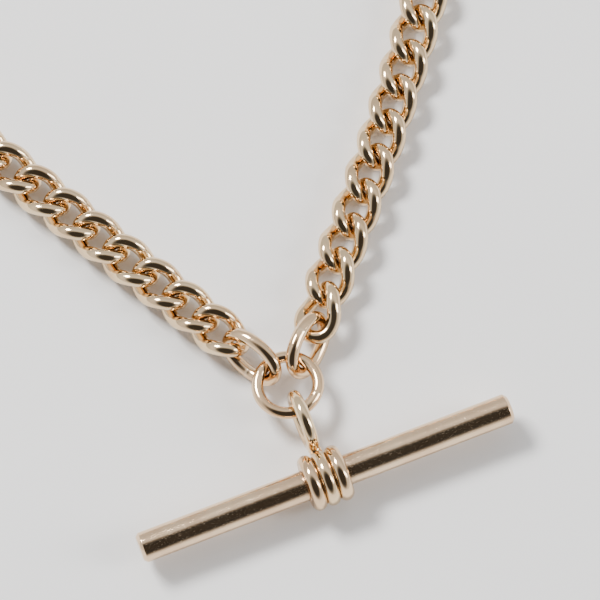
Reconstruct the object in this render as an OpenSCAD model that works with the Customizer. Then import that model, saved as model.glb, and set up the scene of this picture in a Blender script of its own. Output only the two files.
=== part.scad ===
// Gold double Albert watch chain: toggle bar, jump ring, two arms of curb links, a swivel clip on each arm.
// Millimetres. The origin is the middle of the toggle bar: X along the bar, Y towards the jump ring, Z up.

/* [Toggle bar] */
// Length of the toggle bar
bar_len = 35.7; // [24:0.1:48]
// Thickness of the toggle bar
bar_d = 2.8; // [1.8:0.1:3.2]
// Bright bevel on each end of the bar
bar_chamfer = 0.3; // [0.1:0.05:0.5]
// Wire of the three collar rings round the bar
collar_wire = 1.4; // [1.2:0.05:1.6]
// Width of each collar ring along the bar: the wire is pressed flat where the rings meet
collar_wid = 1.25; // [1:0.05:1.5]
// Wire of the bail loop soldered to the middle collar ring
bail_wire = 1.2; // [0.8:0.05:1.4]
// Outside width of the bail loop
bail_od = 6; // [5:0.1:7]

/* [Jump ring] */
// Outside width of the jump ring
ring_od = 6.6; // [5.5:0.1:8]
// Wire of the jump ring
ring_wire = 1.1; // [0.8:0.05:1.3]

/* [Curb links] */
// Outside length of one curb link
link_len = 6.2; // [5:0.1:7.5]
// Outside width of one curb link
link_wid = 4.5; // [4:0.1:5.6]
// Wire of the curb links
link_wire = 1.3; // [1:0.05:1.5]
// Twist of each link end away from flat, in degrees
link_twist = 50; // [40:1:60]
// Play where two wires hook round each other
play = 0.08; // [0.05:0.01:0.2]
// Links in each run past the first twelve of an arm
links_per_run = 4; // [2:1:5]

/* [Connecting links] */
// Outside length of the plain oval link beside the jump ring
oval_len = 6.7; // [5.6:0.1:8]
// Outside width of the plain oval link
oval_wid = 4.8; // [4:0.1:5.6]
// Wire of the plain oval link
oval_wire = 1.2; // [0.9:0.05:1.4]

/* [Clips] */
// Outside width of the ring between an arm and its clip
end_ring_od = 5.1; // [4.4:0.1:6]
// Wire of that ring and of the swivel eye
end_wire = 0.9; // [0.7:0.05:1.1]
// Inside width of the round crook of a clip
crook_id = 6.7; // [5.5:0.1:9]
// Wire of the crook
crook_wire = 1.7; // [1.3:0.1:2.1]
// Thickness of the swivel stud
stud_d = 1.5; // [1.1:0.1:1.8]
// Thickness of the gate pin
pin_d = 0.9; // [0.7:0.05:1.1]
// Clearance all round a turning shaft
turn_gap = 0.03; // [0.02:0.01:0.08]

/* [Hidden] */
$fn = 48;
step = 0.01;      // every second arc of a bent wire is this much thinner, so the arcs seat inside one another
lap = 2;          // and reaches this many degrees into its neighbours
side_rise = 2;    // how fast a side of a link climbs at its middle, against an even twist
bar_r = bar_d / 2;
neck_r = bar_r - 0.17;   // the collar rings sit in a shallow turned neck
collar_r = neck_r + collar_wire / 2 - 0.02;  // middle of a collar ring's wire, from the bar's axis
collar_gap = collar_wid + 0.04;              // spacing of the three rings along the bar
neck_x = collar_gap + collar_wid / 2;        // half the neck's length
bail_r = (bail_od - bail_wire) / 2;
bail_out = collar_r + collar_wire / 2 + bail_wire / 2 + bail_r - 0.1;  // bar's axis to the bail's middle
bail_tilt = 6;
bail_mid = bail_out * [0, cos(bail_tilt), sin(bail_tilt)];
ring_r = (ring_od - ring_wire) / 2;
ring_tilt = 8;    // the side beside the bail rides a little high
ring_drop = 0.32; // how far the ring's wire sits under the bail's middle
bail_slack = bail_r - bail_wire / 2 - ring_wire / 2 - play;
ring_hook = bail_mid + [0, sqrt(bail_slack * bail_slack - ring_drop * ring_drop), -ring_drop];
ring_mid = ring_hook + ring_r * [0, cos(ring_tilt), -sin(ring_tilt)];
half_len = (link_len - link_wire) / 2;
half_wid = (link_wid - link_wire) / 2;
oval_a = (oval_len - oval_wire) / 2;
oval_w = (oval_wid - oval_wire) / 2;
oval_yaws = [119, 43];
oval_slopes = [-6, -6.5];    // left and right: the oval links run down from the jump ring
oval_rolls = [-59, 57];     // and lie turned over on their sides
// the first curb link of the right arm is turned, and less twisted than the rest
first_yaw = 53;
first_roll = -32;
first_twist = 30;
first_slack = [0.1, 0.53];     // how slack each arm's first link hangs in its oval link
lay = -1.05;      // height of the middle of the flat-lying arms
singles = 12;
runs = 8;
arm_links = singles + runs * links_per_run;
end_r = (end_ring_od - end_wire) / 2;
eye_r = end_r - 0.2;
crook_r = (crook_id + crook_wire) / 2;
gold = [0.86, 0.62, 0.44];
rose = [0.83, 0.57, 0.41];

function unit(v) = v / norm(v);
function dir(yaw, slope = 0) = [cos(yaw) * cos(slope), sin(yaw) * cos(slope), sin(slope)];
// axes of a pose: outward along the chain, to its left, and up, after the roll
function left_of(yaw, slope, roll) = let (l = [-sin(yaw), cos(yaw), 0], u = cross(dir(yaw, slope), l)) l * cos(roll) + u * sin(roll);
function above(yaw, slope, roll) = cross(dir(yaw, slope), left_of(yaw, slope, roll));

// an arc leaving P along t and ending at Q: middle, two axes, its pole, radius and angle
function arc_from(P, t, Q) =
    let (c = Q - P, n = unit(cross(t, c)), u = cross(n, t), R = (c * c) / (2 * (c * u)))
    [P + R * u, -u, t, n, R, 2 * asin(norm(c) / (2 * R))];
// two arcs in line with each other, from P0 along t0 to P1 along t1
function arc_pair(P0, t0, P1, t1) =
    let (v = P1 - P0, t = t0 + t1, k = 1 - t0 * t1,
         d = (-(v * t) + sqrt((v * t) * (v * t) + 2 * k * (v * v))) / (2 * k),
         J = (P0 + P1 + d * (t0 - t1)) / 2)
    [arc_from(P0, t0, J), arc_from(P1, -t1, J)];
// a quarter of a link: from its outer end to its left side
function quarter(a, w, twist) =
    arc_pair([a, 0, 0], [0, cos(twist), -sin(twist)], [0, w, 0], unit([-1, 0, side_rise * twist * 3.1416 / 180 * w / a]));

// yaw of link i (0 is the first) on an arm: 0 is the left arm, 1 the right arm
function far(i) = max(0, i - 9) / (arm_links - 10);
function link_yaw(arm, i) =
    arm == 0 ? 119.5 + 28 * far(i)
    : i == 0 ? first_yaw : i == 1 ? (first_yaw + 47) / 2 : min(46.4 + 0.85 * i, 55.5) - 26 * far(i);
function oval_yaw(arm) = oval_yaws[arm];
function oval_slope(arm) = oval_slopes[arm];
function oval_roll(arm) = oval_rolls[arm];
function link_roll(arm, i) = arm == 1 ? (i == 0 ? first_roll : i < 4 ? first_roll * (4 - i) / 9 : 0) : 0;
function oval_in(arm) = ring_mid + (ring_r - (ring_wire + oval_wire) / 2 - play) * ring_way(oval_yaw(arm));
// unit vector in the plane of the jump ring, seen from above along yaw
function ring_way(yaw) = unit([cos(yaw), sin(yaw), -sin(yaw) * tan(ring_tilt)]);
function oval_mid(arm) = oval_in(arm) + oval_a * dir(oval_yaw(arm), oval_slope(arm));
function first_in(arm) =
    oval_mid(arm) + (oval_a - (oval_wire + link_wire) / 2 - play - first_slack[arm]) * dir(oval_yaw(arm), oval_slope(arm));
pitch = 2 * half_len - link_wire - play;
// the first three links of an arm run down to the level the rest lies at
function link_slope(arm, i) = i < 3 ? -asin((first_in(arm).z - lay) / (3 * pitch)) : 0;
function link_dir(arm, i) = dir(link_yaw(arm, i), link_slope(arm, i));
function link_mid(arm, i) =
    i == 0 ? first_in(arm) + half_len * link_dir(arm, 0)
    : let (d0 = link_dir(arm, i - 1), d1 = link_dir(arm, i))
      link_mid(arm, i - 1) + half_len * (d0 + d1) - (link_wire + play) * unit(d0 + d1);
last = arm_links - 1;
function end_yaw(arm) = link_yaw(arm, last);
end_slope = 10;
function end_in(arm) = link_mid(arm, last) + (half_len - (link_wire + end_wire) / 2 - play) * dir(end_yaw(arm));
function end_mid(arm) = end_in(arm) + end_r * dir(end_yaw(arm), end_slope);
function eye_in(arm) = end_mid(arm) + (end_r - end_wire - play) * dir(end_yaw(arm), end_slope);
function eye_mid(arm) = eye_in(arm) + eye_r * dir(end_yaw(arm));

module place(p, yaw, slope = 0, roll = 0) {
    x = dir(yaw, slope);
    y = left_of(yaw, slope, roll);
    z = above(yaw, slope, roll);
    multmatrix([[x.x, y.x, z.x, p.x], [x.y, y.y, z.y, p.y], [x.z, y.z, z.z, p.z], [0, 0, 0, 1]]) children();
}
module arc_wire(A, r, more = 0) {
    c = A[0]; x = A[1]; y = A[2]; z = A[3];
    multmatrix([[x.x, y.x, z.x, c.x], [x.y, y.y, z.y, c.y], [x.z, y.z, z.z, c.z], [0, 0, 0, 1]])
        rotate([0, 0, -more]) rotate_extrude(angle = A[5] + 2 * more) translate([A[4], 0]) circle(r);
}
module bent_link(a, w, twist, wire) {
    q = quarter(a, w, twist);
    for (turn = [0, 180]) rotate([0, 0, turn]) {
        arc_wire(q[0], wire / 2);
        arc_wire(q[1], wire / 2 - step, lap);
        rotate([180, 0, 180]) {
            arc_wire(q[1], wire / 2);
            arc_wire(q[0], wire / 2 - step, lap);
        }
    }
}
module wire_ring(mid_r, wire) { rotate_extrude() translate([mid_r, 0]) circle(wire / 2); }
module along_x(x, r, h) { translate([x, 0, 0]) rotate([0, 90, 0]) cylinder(r = r, h = h); }

module toggle_bar() {
    color(gold) rotate([0, 90, 0]) rotate_extrude()
        polygon([[0, -bar_len / 2], [bar_r - bar_chamfer, -bar_len / 2], [bar_r, -bar_len / 2 + bar_chamfer],
                 [bar_r, -neck_x], [neck_r, -neck_x], [neck_r, neck_x], [bar_r, neck_x],
                 [bar_r, bar_len / 2 - bar_chamfer], [bar_r - bar_chamfer, bar_len / 2], [0, bar_len / 2]]);
}
module collar_ring(x, bore) {
    difference() {
        intersection() {
            translate([x, 0, 0]) rotate([0, 90, 0]) wire_ring(collar_r, collar_wire);
            along_x(x - collar_wid / 2, collar_r + collar_wire, collar_wid);
        }
        along_x(x - collar_wire, bore, 2 * collar_wire);
    }
}
module outer_collar(x) { color(rose) collar_ring(x, neck_r); }
module bail() {
    color(gold) {
        collar_ring(0, neck_r + turn_gap);
        translate(bail_mid) rotate([0, 90, 0]) wire_ring(bail_r, bail_wire);
        translate((bail_out - bail_r - bail_wire / 2 - 0.05) * unit(bail_mid)) sphere(0.68);
    }
}
module jump_ring() {
    color(rose) translate(ring_mid) rotate([-ring_tilt, 0, 0]) wire_ring(ring_r, ring_wire);
}
module oval_link(arm) {
    color(rose) place(oval_mid(arm), oval_yaw(arm), oval_slope(arm), oval_roll(arm))
        bent_link(oval_a, oval_w, 0, oval_wire);
}
module curb_link(arm, i) {
    color(gold) place(link_mid(arm, i), link_yaw(arm, i), link_slope(arm, i), link_roll(arm, i))
        bent_link(half_len, half_wid, arm == 1 && i == 0 ? first_twist : link_twist, link_wire);
}
module curb_run(arm, run) {
    for (k = [0:links_per_run - 1]) curb_link(arm, singles + run * links_per_run + k);
}
module end_ring(arm) {
    color(rose) place(end_mid(arm), end_yaw(arm), end_slope, 45) wire_ring(end_r, end_wire);
}

// clip: X runs outward from the middle of the swivel eye
neck = eye_r + end_wire / 2;               // outer edge of the eye
cup_r = stud_d / 2 + 1.05;
cup_x = neck + 0.75;                       // open end of the cup
head_x = cup_x + 1.3;
cup_end = head_x + 2.6;
crook_x = cup_end + crook_r - 0.7;         // middle of the round crook
pivot = [crook_x - crook_r * cos(30), crook_r * sin(30)];
reach = norm([crook_x + crook_r * cos(72), crook_r * sin(72)] - pivot);
knuckle_r = pin_d / 2 + 0.55;
function clip_at(arm) = eye_mid(arm);
module clip_place(arm) { place(clip_at(arm), end_yaw(arm)) children(); }
module swivel_eye(arm) {
    color(rose) clip_place(arm) {
        rotate([-45, 0, 0]) wire_ring(eye_r, end_wire);
        along_x(neck - 0.2, stud_d / 2 + 0.3, 0.85);
        along_x(neck + 0.3, stud_d / 2, head_x - neck);
        along_x(head_x + 0.1, stud_d / 2 + 0.45, 0.7);
    }
}
module hook_body(arm) {
    color(gold) clip_place(arm) difference() {
        union() {
            along_x(cup_x, cup_r, cup_end - cup_x);
            translate([cup_end, 0, 0]) sphere(cup_r);
            translate([pivot.x, pivot.y, -1.25]) cylinder(r = knuckle_r + 0.2, h = 2.5);
            difference() {
                translate([crook_x, 0, 0]) rotate([0, 0, 180]) rotate_extrude(angle = 258)
                    translate([crook_r, 0]) circle(crook_wire / 2);
                // the tip is cut back to a circle round the pivot, so the gate can swing past it
                intersection() {
                    translate([pivot.x, pivot.y, -2]) cylinder(r = reach, h = 4);
                    translate([pivot.x, crook_r / 3, -2]) cube([2 * crook_r, 2 * crook_r, 4]);
                }
            }
        }
        along_x(cup_x - 1, stud_d / 2 + turn_gap, 3);
        along_x(head_x, stud_d / 2 + 0.55, 0.95);
        translate([pivot.x, pivot.y, -0.62]) cylinder(r = knuckle_r + 0.32, h = 1.24);
        translate([pivot.x, pivot.y, -3]) cylinder(r = pin_d / 2, h = 6);
    }
}
module gate_pin(arm) {
    color(rose) clip_place(arm) translate([pivot.x, pivot.y, -1.35]) cylinder(r = pin_d / 2, h = 2.7);
}
module gate(arm) {
    color(gold) clip_place(arm) difference() {
        union() {
            translate([pivot.x, pivot.y, -0.55]) cylinder(r = knuckle_r, h = 1.1);
            intersection() {
                translate([crook_x, 0, 0]) rotate([0, 0, 64]) rotate_extrude(angle = 84)
                    translate([crook_r, 0]) circle(0.5);
                translate([pivot.x, pivot.y, -2]) cylinder(r = reach - 0.08, h = 4);
            }
        }
        translate([pivot.x, pivot.y, -3]) cylinder(r = pin_d / 2 + turn_gap, h = 6);
    }
}
module gate_spring(arm) {
    color(rose) clip_place(arm) translate([crook_x, 0, 0]) rotate([0, 0, 92]) rotate_extrude(angle = 40)
        translate([crook_r - 0.74, -0.4]) square([0.22, 0.8]);
}

// Piece to draw, or all

toggle_bar();
outer_collar(-collar_gap);  // left_collar_ring
outer_collar(collar_gap);  // right_collar_ring
bail();  // bail_loop
jump_ring();
oval_link(0);  // left_oval_link
oval_link(1);  // right_oval_link
curb_link(0, 0);  // left_link_01
curb_link(0, 1);  // left_link_02
curb_link(0, 2);  // left_link_03
curb_link(0, 3);  // left_link_04
curb_link(0, 4);  // left_link_05
curb_link(0, 5);  // left_link_06
curb_link(0, 6);  // left_link_07
curb_link(0, 7);  // left_link_08
curb_link(0, 8);  // left_link_09
curb_link(0, 9);  // left_link_10
curb_link(0, 10);  // left_link_11
curb_link(0, 11);  // left_link_12
curb_run(0, 0);  // left_run_1
curb_run(0, 1);  // left_run_2
curb_run(0, 2);  // left_run_3
curb_run(0, 3);  // left_run_4
curb_run(0, 4);  // left_run_5
curb_run(0, 5);  // left_run_6
curb_run(0, 6);  // left_run_7
curb_run(0, 7);  // left_run_8
end_ring(0);  // left_end_ring
swivel_eye(0);  // left_swivel_eye
hook_body(0);  // left_hook_body
gate_pin(0);  // left_gate_pin
gate(0);  // left_gate
gate_spring(0);  // left_gate_spring
curb_link(1, 0);  // right_link_01
curb_link(1, 1);  // right_link_02
curb_link(1, 2);  // right_link_03
curb_link(1, 3);  // right_link_04
curb_link(1, 4);  // right_link_05
curb_link(1, 5);  // right_link_06
curb_link(1, 6);  // right_link_07
curb_link(1, 7);  // right_link_08
curb_link(1, 8);  // right_link_09
curb_link(1, 9);  // right_link_10
curb_link(1, 10);  // right_link_11
curb_link(1, 11);  // right_link_12
curb_run(1, 0);  // right_run_1
curb_run(1, 1);  // right_run_2
curb_run(1, 2);  // right_run_3
curb_run(1, 3);  // right_run_4
curb_run(1, 4);  // right_run_5
curb_run(1, 5);  // right_run_6
curb_run(1, 6);  // right_run_7
curb_run(1, 7);  // right_run_8
end_ring(1);  // right_end_ring
swivel_eye(1);  // right_swivel_eye
hook_body(1);  // right_hook_body
gate_pin(1);  // right_gate_pin
gate(1);  // right_gate
gate_spring(1);  // right_gate_spring
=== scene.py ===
"""Looks of the double Albert watch chain in rose gold. Metres, in the frame of the CAD model."""
import math

import bpy
import numpy as np
from mathutils import Matrix, Vector


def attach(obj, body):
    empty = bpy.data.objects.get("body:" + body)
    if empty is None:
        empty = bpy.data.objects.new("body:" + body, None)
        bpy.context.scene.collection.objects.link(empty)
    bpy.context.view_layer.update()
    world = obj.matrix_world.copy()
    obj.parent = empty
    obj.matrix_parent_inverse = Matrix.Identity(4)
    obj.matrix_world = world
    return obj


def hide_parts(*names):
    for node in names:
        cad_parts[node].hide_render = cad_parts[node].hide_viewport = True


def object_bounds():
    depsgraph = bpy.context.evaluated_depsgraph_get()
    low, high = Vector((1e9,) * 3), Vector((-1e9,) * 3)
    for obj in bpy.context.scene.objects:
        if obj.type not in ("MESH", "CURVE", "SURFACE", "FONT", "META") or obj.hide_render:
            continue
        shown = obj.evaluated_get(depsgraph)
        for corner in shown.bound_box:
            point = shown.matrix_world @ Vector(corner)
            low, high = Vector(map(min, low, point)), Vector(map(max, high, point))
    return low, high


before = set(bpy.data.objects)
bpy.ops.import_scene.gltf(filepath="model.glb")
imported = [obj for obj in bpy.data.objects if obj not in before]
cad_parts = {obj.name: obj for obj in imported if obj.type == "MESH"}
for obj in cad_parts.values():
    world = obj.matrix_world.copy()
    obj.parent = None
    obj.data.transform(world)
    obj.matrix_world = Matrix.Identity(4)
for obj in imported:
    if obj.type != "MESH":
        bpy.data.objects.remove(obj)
cad_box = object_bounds()

MM = 0.001
RNG = np.random.default_rng(1887)

# ---------------------------------------------------------------- camera
BAR_SLOPE = math.radians(21.4)      # the bar climbs to the right in the picture
TILT = math.radians(16)             # camera leans back from straight down
DISTANCE = 0.42
SPAN = 0.0544                       # width of the view at the bar
AIM = (-2.3 * MM, 16.6 * MM)        # middle of the view from the bar's middle: right, up
SENSOR = 36                         # width in millimetres
NEAREST, FARTHEST = 0.01, 20        # what the camera can see


def camera():
    """Looks down on the bar, with the picture's up along the chain's middle."""
    right = Vector((math.cos(BAR_SLOPE), -math.sin(BAR_SLOPE), 0))
    up = Vector((math.sin(BAR_SLOPE), math.cos(BAR_SLOPE), 0))
    target = right * AIM[0] + up * AIM[1]
    back = Vector((0, 0, 1)) * math.cos(TILT) - up * math.sin(TILT)
    data = bpy.data.cameras.new("camera")
    data.sensor_width = SENSOR
    data.lens = SENSOR * DISTANCE / SPAN
    data.clip_start, data.clip_end = NEAREST, FARTHEST
    cam = bpy.data.objects.new("camera", data)
    bpy.context.scene.collection.objects.link(cam)
    screen_up = up * math.cos(TILT) + Vector((0, 0, 1)) * math.sin(TILT)
    rot = Matrix((right, screen_up, back)).transposed()
    cam.matrix_world = Matrix.Translation(target + back * DISTANCE) @ rot.to_4x4()
    bpy.context.scene.camera = cam


camera()


# ---------------------------------------------------------------- materials
class Nodes:
    """A short way to write a node tree."""

    def __init__(self, name):
        self.mat = bpy.data.materials.new(name)
        self.mat.use_nodes = True
        self.tree = self.mat.node_tree
        self.shader = self.tree.nodes["Principled BSDF"]
        self.coord = self.add("ShaderNodeTexCoord").outputs["Object"]

    def add(self, kind, **values):
        node = self.tree.nodes.new(kind)
        for key, value in values.items():
            if key in node.inputs:
                self.put(node.inputs[key], value)
            else:
                setattr(node, key, value)
        return node

    def put(self, socket, value):
        if isinstance(value, bpy.types.NodeSocket):
            self.tree.links.new(value, socket)
        else:
            socket.default_value = value

    def math(self, op, a, b):
        node = self.add("ShaderNodeMath", operation=op)
        for socket, value in zip(node.inputs, (a, b)):
            self.put(socket, value)
        return node.outputs[0]

    def noise(self, scale, detail=3.0, stretch=None, rotate=(0, 0, 0), distortion=0.0):
        where = self.coord
        if stretch:
            where = self.add("ShaderNodeMapping", Vector=where, Rotation=rotate,
                             Scale=stretch).outputs[0]
        return self.add("ShaderNodeTexNoise", Vector=where, Scale=scale, Detail=detail,
                        Distortion=distortion).outputs["Fac"]

    def ramp(self, value, low, high, out_low=0.0, out_high=1.0):
        node = self.add("ShaderNodeMapRange", Value=value)
        for key, v in (("From Min", low), ("From Max", high), ("To Min", out_low), ("To Max", out_high)):
            node.inputs[key].default_value = v
        return node.outputs[0]

    def mix(self, factor, a, b):
        node = self.add("ShaderNodeMix", data_type="RGBA")
        self.put(node.inputs["Factor"], factor)
        for socket, value in zip((s for s in node.inputs if s.type == "RGBA"), (a, b)):
            self.put(socket, value)
        return next(s for s in node.outputs if s.type == "RGBA")

    def attribute(self, name):
        return self.add("ShaderNodeAttribute", attribute_name=name).outputs["Fac"]


# what all the golds share
FILM_TINT = (0.7, 0.62, 0.55)       # how far the handling film darkens red, green and blue
SHADE_AND_GRIME_COLOUR = (0.22, 0.135, 0.08)         # painted shade, mixed with grime, where wire nests in wire and in crevices
SOLDER = (0.93, 0.78, 0.56)         # the paler alloy of a seam
FILM_SHARE, SHADE_AND_GRIME_SHARE, SOLDER_SHARE = 0.35, 0.5, 0.45
HAIR_ROUGH, GRIME_ROUGH = 0.12, 0.22
SWELL_RISE, HAIR_RISE, SOLDER_RISE, GRAIN_RISE = 0.9, -0.02, 0.18, 0.02
GOLD_BUMP, GOLD_DEPTH = 0.5, 0.00006


def gold(name, light, deep, rough, scratch=1.0):
    n = Nodes(name)
    tint = n.ramp(n.noise(260, 4), 0.35, 0.65)
    colour = n.mix(tint, (*deep, 1), (*light, 1))
    # handling film: faint darker clouds, and painted shade, mixed with grime, where wire nests in wire
    # and in the crevices beside the collars
    film = n.ramp(n.noise(900, 5, distortion=0.6), 0.45, 0.8, 0.0, 0.35)
    filmed = [channel * share for channel, share in zip(deep, FILM_TINT)]
    colour = n.mix(n.math("MULTIPLY", film, FILM_SHARE), colour, (*filmed, 1))
    patches = n.ramp(n.noise(1500, 4), 0.3, 0.7, 0.35, 1.0)
    dark = n.math("MULTIPLY", n.attribute("cavity"), patches)
    colour = n.mix(n.math("MULTIPLY", dark, SHADE_AND_GRIME_SHARE), colour, (*SHADE_AND_GRIME_COLOUR, 1))
    seam = n.attribute("seam")
    colour = n.mix(n.math("MULTIPLY", seam, SOLDER_SHARE), colour, (*SOLDER, 1))
    n.put(n.shader.inputs["Base Color"], colour)
    n.shader.inputs["Metallic"].default_value = 1.0
    # hairline scratches in two directions
    fine = n.noise(2200, 3, (1, 9, 9), (0.2, 0.4, 0.7))
    cross = n.noise(2600, 3, (10, 1, 10), (0.5, 0.1, 1.1))
    hair = n.math("MAXIMUM", n.ramp(fine, 0.60, 0.72), n.ramp(cross, 0.62, 0.74))
    polish = n.ramp(n.noise(1200, 4), 0.3, 0.7, rough * 0.75, rough * 1.35)
    dull = n.math("ADD", polish, n.math("MULTIPLY", hair, HAIR_ROUGH * scratch))
    dull = n.math("ADD", dull, n.math("MULTIPLY", dark, GRIME_ROUGH))
    n.put(n.shader.inputs["Roughness"], dull)
    height = n.math("ADD", n.math("MULTIPLY", n.noise(420, 2), SWELL_RISE),
                    n.math("MULTIPLY", hair, HAIR_RISE * scratch))
    height = n.math("ADD", height, n.math("MULTIPLY", seam, SOLDER_RISE))
    height = n.math("ADD", height, n.math("MULTIPLY", n.noise(6000, 2), GRAIN_RISE))
    bump = n.add("ShaderNodeBump", Strength=GOLD_BUMP, Distance=GOLD_DEPTH, Height=height)
    n.put(n.shader.inputs["Normal"], bump.outputs[0])
    return n.mat


def steel(name):
    n = Nodes(name)
    n.put(n.shader.inputs["Base Color"],
          n.mix(n.ramp(n.noise(900, 4), 0.3, 0.7), (0.42, 0.40, 0.38, 1), (0.62, 0.61, 0.59, 1)))
    n.shader.inputs["Metallic"].default_value = 1.0
    n.put(n.shader.inputs["Roughness"], n.ramp(n.noise(3000, 4, (1, 8, 8)), 0.3, 0.7, 0.24, 0.42))
    bump = n.add("ShaderNodeBump", Strength=0.3, Distance=0.00002, Height=n.noise(5000, 3, (1, 10, 10)))
    n.put(n.shader.inputs["Normal"], bump.outputs[0])
    return n.mat


ROSE = gold("rose_gold", (0.87, 0.66, 0.40), (0.75, 0.53, 0.31), rough=0.085)
RED = gold("red_gold", (0.86, 0.63, 0.39), (0.74, 0.50, 0.29), rough=0.085)
BAR = gold("bar_gold", (0.85, 0.63, 0.41), (0.76, 0.53, 0.33), rough=0.10, scratch=2.2)
STEEL = steel("spring_steel")


# ---------------------------------------------------------------- mesh helpers, all in millimetres
class Build:
    """Gathers tubes and turned shapes into one mesh, with the marks that the materials read: painted
    crevice shade with grime, and solder seams.
    """

    def __init__(self):
        self.verts, self.faces, self.cavity, self.seam = [], [], [], []

    def grid(self, rings, closed, cavity=None, seam=None, capped=False):
        """rings: array (n, m, 3). Each ring is closed; the run of rings may be closed or capped."""
        n, m, _ = rings.shape
        start = len(self.verts)
        self.verts.extend(rings.reshape(-1, 3))
        self.cavity.extend(np.zeros(n * m) if cavity is None else cavity.reshape(-1))
        self.seam.extend(np.zeros(n * m) if seam is None else seam.reshape(-1))
        for i in range(n if closed else n - 1):
            j = (i + 1) % n
            for k in range(m):
                beside = (k + 1) % m
                corners = (i * m + k, i * m + beside, j * m + beside, j * m + k)
                self.faces.append(tuple(start + corner for corner in corners))
        if capped:
            self.faces.append(tuple(start + k for k in range(m))[::-1])
            self.faces.append(tuple(start + (n - 1) * m + k for k in range(m)))

    def object(self, name, material, body, replaces):
        mesh = bpy.data.meshes.new(name)
        mesh.from_pydata([tuple(v * MM) for v in np.asarray(self.verts)], [], self.faces)
        for key, values in (("cavity", self.cavity), ("seam", self.seam)):
            mark = mesh.attributes.new(key, "FLOAT", "POINT")
            mark.data.foreach_set("value", np.asarray(values, np.float32))
        mesh.shade_smooth()
        mesh.materials.append(material)
        mesh.validate()
        obj = bpy.data.objects.new(name, mesh)
        bpy.context.scene.collection.objects.link(obj)
        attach(obj, body)
        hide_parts(*replaces)
        return obj


def unit(v):
    return v / np.linalg.norm(v)


def unit_rows(v):
    return v / np.maximum(np.linalg.norm(v, axis=1), 1e-9)[:, None]


def frames_along(path):
    """Two side axes carried round a closed path without twisting, and eased so that they meet."""
    n = len(path)
    tangent = unit_rows(np.roll(path, -1, 0) - np.roll(path, 1, 0))
    side = np.zeros_like(path)
    side[0] = unit(np.cross(tangent[0], [0.3, 0.2, 1.0]))
    for i in range(1, n):
        side[i] = unit(side[i - 1] - tangent[i] * (side[i - 1] @ tangent[i]))
    back = unit(side[-1] - tangent[0] * (side[-1] @ tangent[0]))
    slip = math.atan2(np.cross(back, side[0]) @ tangent[0], back @ side[0])
    other = np.cross(tangent, side)
    turn = slip * np.arange(n) / n
    side = side * np.cos(turn)[:, None] + other * np.sin(turn)[:, None]
    return side, np.cross(tangent, side)


def tube_rings(path, radius, sides):
    """Rings of points round a closed path, with a radius for each point of it."""
    side, other = frames_along(path)
    angle = np.arange(sides) * 2 * math.pi / sides
    ring = (side[:, None] * np.cos(angle)[None, :, None]
            + other[:, None] * np.sin(angle)[None, :, None])
    return path[:, None] + ring * radius[:, None, None]


def arc_from(p, t, q):
    """The arc that leaves p along t and reaches q: middle, two axes, radius, angle."""
    c = q - p
    pole = unit(np.cross(t, c))
    inward = np.cross(pole, t)
    radius = (c @ c) / (2 * (c @ inward))
    return p + radius * inward, -inward, t, radius, 2 * math.asin(np.linalg.norm(c) / (2 * radius))


def arc_points(arc, count):
    mid, x, y, radius, angle = arc
    s = np.linspace(0, angle, count)[:, None]
    return mid + radius * (x * np.cos(s) + y * np.sin(s))


ARC_COUNT, EVEN_COUNT = 60, 600       # points on one arc, and round the evened loop
SMOOTHING = 0.22                      # millimetres


def link_path(a, w, twist, rise, count):
    """Closed centre line of one bent link: outer end on +X, twisted by twist each way."""
    p0, t0 = np.array([a, 0, 0.0]), np.array([0, math.cos(twist), -math.sin(twist)])
    p1, t1 = np.array([0, w, 0.0]), unit(np.array([-1, 0, rise * twist * w / a]))
    v, t, k = p1 - p0, t0 + t1, 1 - t0 @ t1
    d = (-(v @ t) + math.sqrt((v @ t) ** 2 + 2 * k * (v @ v))) / (2 * k)
    joint = (p0 + p1 + d * (t0 - t1)) / 2
    first = arc_points(arc_from(p0, t0, joint), ARC_COUNT)
    second = arc_points(arc_from(p1, -t1, joint), ARC_COUNT)[::-1]
    quarter = np.vstack([first[:-1], second])
    half = np.vstack([quarter[:-1], (quarter * [-1, 1, -1])[::-1]])
    loop = np.vstack([half[:-1], (half * [-1, -1, 1])[:-1]])
    # even spacing, then a light smoothing, so the bend changes gently from arc to arc
    gap = np.linalg.norm(np.roll(loop, -1, 0) - loop, axis=1)
    s = np.concatenate([[0], np.cumsum(gap)])
    at = np.arange(EVEN_COUNT) * s[-1] / EVEN_COUNT
    closed = np.vstack([loop, loop[:1]])
    even = np.stack([np.interp(at, s, closed[:, i]) for i in range(3)], 1)
    sigma = SMOOTHING / (s[-1] / EVEN_COUNT)
    reach = int(3 * sigma)
    kernel = np.exp(-0.5 * (np.arange(-reach, reach + 1) / sigma) ** 2)
    kernel /= kernel.sum()
    wide = np.vstack([even[-reach:], even, even[:reach]])
    smooth = np.stack([np.convolve(wide[:, i], kernel, "valid") for i in range(3)], 1)
    return smooth[np.arange(count) * EVEN_COUNT // count]


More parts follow.
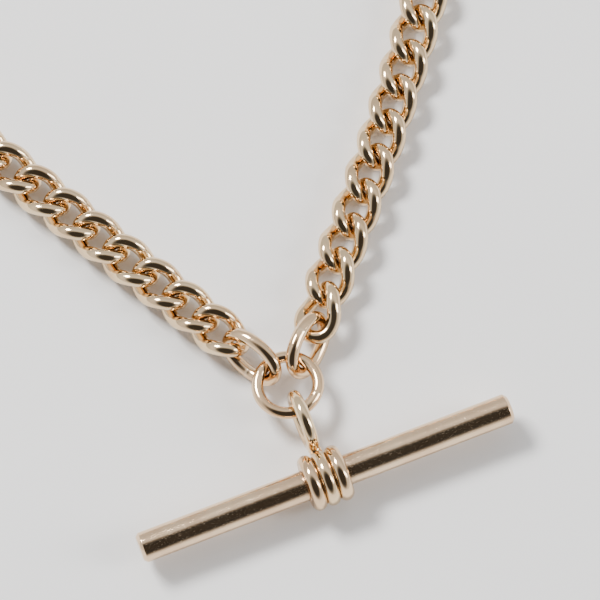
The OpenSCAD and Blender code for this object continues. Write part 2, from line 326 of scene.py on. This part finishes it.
def islands(obj):
    """The separate shells of a CAD node: the middle and principal axes of each, longest first."""
    mesh = obj.data
    n = len(mesh.vertices)
    co = np.empty(n * 3)
    mesh.vertices.foreach_get("co", co)
    place = obj.matrix_world
    co = co.reshape(-1, 3) @ np.array(place.to_3x3()).T + np.array(place.translation)
    mesh.calc_loop_triangles()
    tri = np.empty(len(mesh.loop_triangles) * 3, int)
    mesh.loop_triangles.foreach_get("vertices", tri)
    # vertices are merged by place, because the file splits them at sharp edges
    _, same = np.unique(np.round(co * 1e7).astype(np.int64), axis=0, return_inverse=True)
    same = same.reshape(-1)
    tri = tri.reshape(-1, 3)
    label = np.arange(same.max() + 1)
    merged = same[tri]
    while True:
        low = label[merged].min(1)
        before = label.copy()
        for k in range(3):
            np.minimum.at(label, merged[:, k], low)
        label = label[label]
        if (before == label).all():
            break
    found = []
    for name in np.unique(label[merged[:, 0]]):
        pts = co[tri[label[merged[:, 0]] == name]]
        edges = pts[:, 1:] - pts[:, :1]
        area = np.linalg.norm(np.cross(edges[:, 0], edges[:, 1]), axis=1) / 2
        mid = (pts.mean(1) * area[:, None]).sum(0) / area.sum()
        # exact second moment of each triangle about the middle
        q = pts - mid
        s = q.sum(1)
        cov = np.einsum("t,tia,tib->ab", area, q, q) + np.einsum("t,ta,tb->ab", area, s, s)
        _, vec = np.linalg.eigh(cov / 12)
        x, y = vec[:, 2], vec[:, 1]
        found.append((mid / MM, np.stack([x, y, np.cross(x, y)], 1)))
    return found


# ---------------------------------------------------------------- chain
LINK_WIRE, HALF_LEN, HALF_WID, TWIST, RISE = 1.3, 2.45, 1.6, math.radians(50), 2.0
FIRST_TWIST = math.radians(30)      # the right arm's first link is less twisted
OVAL_WIRE, OVAL_A, OVAL_W = 1.2, 2.75, 1.8
RING_WIRE, RING_R = 1.1, 2.75
END_WIRE, END_R = 0.9, 2.1
LINKS, RUNS = 12, 8                   # nodes in each arm: single links, then runs of four
CLOSE_POINTS, CLOSE_SIDES = 100, 28   # along and round the wire of a single link
FAR_POINTS, FAR_SIDES = 75, 20        # and of a link in a run
OVAL_POINTS, RING_POINTS = 110, 128
INSIDE = 0.997                        # the wire stays just inside its solid
HOOK_SHARE = 0.055                    # how much of the loop is worn at each end
SWELLS = ((0.006, 2), (0.004, 5))     # unevenness of drawn wire: depth, waves round the loop
SEAM_PROUD = 0.012
SEAM_PLACE, SEAM_SCATTER = 0.25, 0.02


def wire_loop(build, path, place, wire, sides, seam_at, wear=0.03, seam_width=0.11):
    """One closed ring of wire: worn a little thinner where it hooks, with its soldered seam marked."""
    n = len(path)
    at = np.arange(n) / n
    to_end = np.minimum.reduce([abs(at), abs(at - 0.5), abs(at - 1)])
    hook = np.exp(-(to_end / HOOK_SHARE) ** 2)
    starts = RNG.uniform(0, 6.28, 4)
    wobble = sum(depth * np.sin(2 * math.pi * waves * at + start)
                 for (depth, waves), start in zip(SWELLS, starts))
    length = np.linalg.norm(np.roll(path, -1, 0) - path, axis=1).sum()
    off = (at - seam_at + 0.5) % 1 - 0.5
    seam = np.exp(-(off * length / seam_width) ** 2)
    radius = wire / 2 * (INSIDE - wear * hook - abs(wobble)) + SEAM_PROUD * seam
    rings = tube_rings(path, radius, sides)
    # painted shade, mixed with grime: darker on the inner side of the wire where it hooks into the next
    # link
    inward = unit_rows(-path)
    out = rings - path[:, None]
    facing = (out * inward[:, None]).sum(2) / np.maximum(np.linalg.norm(out, axis=2), 1e-9)
    cavity = hook[:, None] * np.clip(facing, 0, 1) ** 1.5
    mid, axes = place
    build.grid(mid + rings @ axes.T, True, cavity, np.repeat(seam[:, None], sides, 1))


def circle(radius, count):
    t = np.arange(count) * 2 * math.pi / count
    return np.stack([radius * np.cos(t), radius * np.sin(t), 0 * t], 1)


def chain_links():
    near = link_path(HALF_LEN, HALF_WID, TWIST, RISE, CLOSE_POINTS)
    first = link_path(HALF_LEN, HALF_WID, FIRST_TWIST, RISE, CLOSE_POINTS)
    far = link_path(HALF_LEN, HALF_WID, TWIST, RISE, FAR_POINTS)
    oval = link_path(OVAL_A, OVAL_W, 0.0, 0.0, OVAL_POINTS)
    for side in ("left", "right"):
        singles = [f"{side}_link_{i + 1:02d}" for i in range(LINKS)]
        for name in singles + [f"{side}_run_{i + 1}" for i in range(RUNS)]:
            build = Build()
            single = name in singles
            path = first if name == "right_link_01" else near if single else far
            for place in islands(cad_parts[name]):
                # the seam is on the same strand of every link, give or take
                wire_loop(build, path, place, LINK_WIRE, CLOSE_SIDES if single else FAR_SIDES,
                          SEAM_PLACE + RNG.uniform(-SEAM_SCATTER, SEAM_SCATTER))
            build.object(name + "_wire", ROSE, name, [name])
        build = Build()
        name = f"{side}_oval_link"
        wire_loop(build, oval, islands(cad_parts[name])[0], OVAL_WIRE, CLOSE_SIDES, 0.27)
        build.object(name + "_wire", RED, name, [name])


chain_links()


# ---------------------------------------------------------------- bar, collar, bail and rings
BAR_HALF, BAR_R, BEVEL, NECK_R = 17.85, 1.4, 0.3, 1.23
COLLAR_R, COLLAR_WIRE, COLLAR_WID, COLLAR_GAP = 1.91, 1.4, 1.25, 1.29
BAIL_WIRE, BAIL_R, BAIL_OUT, BAIL_TILT = 1.2, 2.4, 5.51, math.radians(6)
NECK_X = COLLAR_GAP + COLLAR_WID / 2
EDGE = 0.05                           # softened edges of the bar
LONGEST_STEP = 0.6                    # along the bar's profile
ROUND_STEPS = 5
NECK_SHADE_AND_GRIME, NECK_SPREAD = 0.8, 0.22   # painted shade, mixed with grime, on the bar beside the collars
BAR_SIDES, COLLAR_SIDES, COLLAR_POINTS = 96, 110, 56
COLLAR_INSIDE = 0.995                 # the collars' flats stay just inside their solids
BAIL_POINTS, BAIL_SIDES = 120, 30
FOOT_IN, FOOT_OUT = 0.45, 0.30        # the solder reaches so far either way from the bail's edge
FOOT_R, FOOT_FLARE, FOOT_TAPER = 0.60, 0.04, 0.03
FOOT_WIDEN = 0.25                     # wider along the bail's wire
FOOT_RINGS, FOOT_SIDES, FOOT_SEAM = 12, 40, 0.3


def turned(build, profile, sides, cavity, closed=False):
    """A turned shape: profile rows are (along the bar, radius)."""
    angle = np.arange(sides) * 2 * math.pi / sides
    rings = np.stack([np.repeat(profile[:, :1], sides, 1), profile[:, 1:] * np.cos(angle),
                      profile[:, 1:] * np.sin(angle)], 2)
    build.grid(rings, closed, np.repeat(cavity[:, None], sides, 1))


def rounded(corners, radius):
    """Profile through corners with each inner corner rounded off."""
    corners = [np.array(c, float) for c in corners]
    out = [corners[0]]
    for a, b, c in zip(corners, corners[1:], corners[2:]):
        u, v = a - b, c - b
        cut = min(radius, np.linalg.norm(u) * 0.45, np.linalg.norm(v) * 0.45)
        p, q = b + unit(u) * cut, b + unit(v) * cut
        for t in np.linspace(0, 1, ROUND_STEPS):
            out.append((1 - t) ** 2 * p + 2 * t * (1 - t) * b + t * t * q)
    out.append(corners[-1])
    return np.array(out)


def finely(profile, most):
    """Adds points so that no step of the profile is longer than most."""
    out = [profile[0]]
    for a, b in zip(profile, profile[1:]):
        n = max(1, int(math.ceil(np.linalg.norm(b - a) / most)))
        out.extend(a + (b - a) * (i + 1) / n for i in range(n))
    return np.array(out)


def toggle():
    build = Build()
    corners = [(0, NECK_R), (NECK_X, NECK_R), (NECK_X, BAR_R), (BAR_HALF - BEVEL, BAR_R),
               (BAR_HALF, BAR_R - BEVEL), (BAR_HALF, 0.01)]
    right = finely(rounded(corners, EDGE), LONGEST_STEP)
    left = (right * [-1, 1])[::-1]
    profile = np.vstack([left[:-1], right])
    # painted shade, mixed with grime, on the bar's neck beside the collars
    near_collar = np.exp(-((abs(profile[:, 0]) - NECK_X) / NECK_SPREAD) ** 2)
    turned(build, profile, BAR_SIDES, NECK_SHADE_AND_GRIME * near_collar)
    build.object("toggle_bar_turned", BAR, "toggle", ["toggle_bar"])
    for name, x in (("left_collar_ring", -COLLAR_GAP), ("right_collar_ring", COLLAR_GAP)):
        build = Build()
        collar_ring(build, x)
        build.object(name + "_wire", RED, "toggle", [name])


def collar_ring(build, x):
    """Round wire pressed flat on both sides, with painted shade and grime between the rings and on the
    neck.
    """
    t = np.arange(COLLAR_POINTS) * 2 * math.pi / COLLAR_POINTS
    across = np.clip(COLLAR_WIRE / 2 * np.cos(t), -COLLAR_WID / 2, COLLAR_WID / 2)
    profile = np.stack([x + across * COLLAR_INSIDE, COLLAR_R + COLLAR_WIRE / 2 * np.sin(t)], 1)
    # painted shade, mixed with grime, on the flats between the rings and underneath on the neck
    dark = np.clip(abs(np.cos(t)) ** 6 + (np.sin(t) < -0.3), 0, 1)
    turned(build, profile, COLLAR_SIDES, dark, closed=True)


def bail():
    build = Build()
    collar_ring(build, 0.0)
    out = np.array([0, math.cos(BAIL_TILT), math.sin(BAIL_TILT)])
    up = np.array([0, -math.sin(BAIL_TILT), math.cos(BAIL_TILT)])
    across = np.array([1.0, 0, 0])
    ring = (out * BAIL_OUT, np.stack([out, up, np.cross(out, up)], 1))
    wire_loop(build, circle(BAIL_R, BAIL_POINTS), ring, BAIL_WIRE, BAIL_SIDES, 0.5, wear=0.02,
              seam_width=0.5)
    # solder fillet from the middle collar up to the bail's wire
    edge = BAIL_OUT - BAIL_R - BAIL_WIRE / 2
    foot, top = edge - FOOT_IN, edge + FOOT_OUT
    angle = np.arange(FOOT_SIDES) * 2 * math.pi / FOOT_SIDES
    rings = []
    for s in np.linspace(0, 1, FOOT_RINGS):
        waist = FOOT_R + FOOT_FLARE * (2 * s - 1) ** 2 - FOOT_TAPER * s
        lump = 1 + 0.05 * np.sin(3 * angle + 1.3) + 0.03 * np.sin(5 * angle + 4 * s)
        wide = 1 + FOOT_WIDEN * s
        rings.append((out * (foot + (top - foot) * s))[None] + waist * lump[:, None] * (
            np.cos(angle)[:, None] * across + wide * np.sin(angle)[:, None] * up))
    build.grid(np.array(rings), False, None, np.full((FOOT_RINGS, FOOT_SIDES), FOOT_SEAM), True)
    build.object("bail_loop_wire", ROSE, "bail", ["bail_loop"])


def plain_ring(node, radius, wire, seam_at):
    build = Build()
    place = islands(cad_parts[node])[0]
    wire_loop(build, circle(radius, RING_POINTS), place, wire, CLOSE_SIDES, seam_at, wear=0.0)
    build.object(node + "_wire", RED, node, [node])


def clips():
    """The clips keep their exact solids, with a better finish."""
    for side in ("left", "right"):
        for part, material in (("swivel_eye", RED), ("hook_body", ROSE), ("gate_pin", RED),
                               ("gate", ROSE), ("gate_spring", STEEL)):
            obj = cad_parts[f"{side}_{part}"]
            obj.data.materials.clear()
            obj.data.materials.append(material)


toggle()
bail()
plain_ring("jump_ring", RING_R, RING_WIRE, 0.62)
for side in ("left", "right"):
    plain_ring(f"{side}_end_ring", END_R, END_WIRE, 0.25)
clips()


# ---------------------------------------------------------------- floor and light
FLOOR_HALF = 3.0
WHITE_CARD = (0.91, 0.905, 0.895)
SHADED_CARD = (0.88, 0.875, 0.865)
DARKEST = (-0.21, -0.54, 0.81)        # the ceiling is dark over the near side, as over a camera
SKY_START, SKY_END = (0.85, 0.85, 0.87, 1), (0.06, 0.055, 0.05, 1)
SKY_STOPS = ((0.40, 1.1), (0.60, 0.95), (0.72, 0.26), (0.84, 0.05))
SKY_BLUE = 1.02


def floor():
    n = Nodes("pale_card")
    tone = n.mix(n.ramp(n.noise(30, 3), 0.3, 0.7), (*SHADED_CARD, 1), (*WHITE_CARD, 1))
    n.put(n.shader.inputs["Base Color"], tone)
    n.shader.inputs["Roughness"].default_value = 0.75
    n.put(n.shader.inputs["Normal"],
          n.add("ShaderNodeBump", Strength=0.15, Distance=0.00004, Height=n.noise(2500, 4)).outputs[0])
    size, z = FLOOR_HALF, cad_box[0][2]
    mesh = bpy.data.meshes.new("floor")
    corners = [(-size, -size, z), (size, -size, z), (size, size, z), (-size, size, z)]
    mesh.from_pydata(corners, [], [(0, 1, 2, 3)])
    mesh.materials.append(n.mat)
    obj = bpy.data.objects.new("floor", mesh)
    bpy.context.scene.collection.objects.link(obj)


def softbox(name, place, aim, size, power, colour):
    data = bpy.data.lights.new(name, "AREA")
    data.shape, data.size, data.size_y = "RECTANGLE", size[0], size[1]
    data.energy, data.color = power, colour
    obj = bpy.data.objects.new(name, data)
    obj.location = place
    obj.rotation_mode = "QUATERNION"
    obj.rotation_quaternion = (Vector(aim) - Vector(place)).to_track_quat("-Z", "Y")
    bpy.context.scene.collection.objects.link(obj)


def studio():
    world = bpy.data.worlds.new("studio")
    bpy.context.scene.world = world
    world.use_nodes = True
    tree = world.node_tree
    coord = tree.nodes.new("ShaderNodeTexCoord")
    lean = tree.nodes.new("ShaderNodeVectorMath")
    lean.operation = "DOT_PRODUCT"
    lean.inputs[1].default_value = DARKEST
    ramp = tree.nodes.new("ShaderNodeValToRGB")
    tree.links.new(coord.outputs["Generated"], lean.inputs[0])
    tree.links.new(lean.outputs["Value"], ramp.inputs[0])
    tree.links.new(ramp.outputs[0], tree.nodes["Background"].inputs["Color"])
    stops = ramp.color_ramp.elements
    stops[0].position, stops[0].color = 0.0, SKY_START
    stops[1].position, stops[1].color = 1.0, SKY_END
    for position, value in SKY_STOPS:
        stops.new(position).color = (value, value, value * SKY_BLUE, 1)
    tree.nodes["Background"].inputs["Strength"].default_value = 1.0
    softbox("key", (-0.30, 0.60, 0.75), (0, 0.03, 0), (0.34, 0.22), 16, (1, 0.99, 0.98))
    softbox("fill", (0.7, -0.3, 0.5), (0, 0.02, 0), (0.25, 0.5), 4, (0.98, 0.99, 1))


floor()
studio()
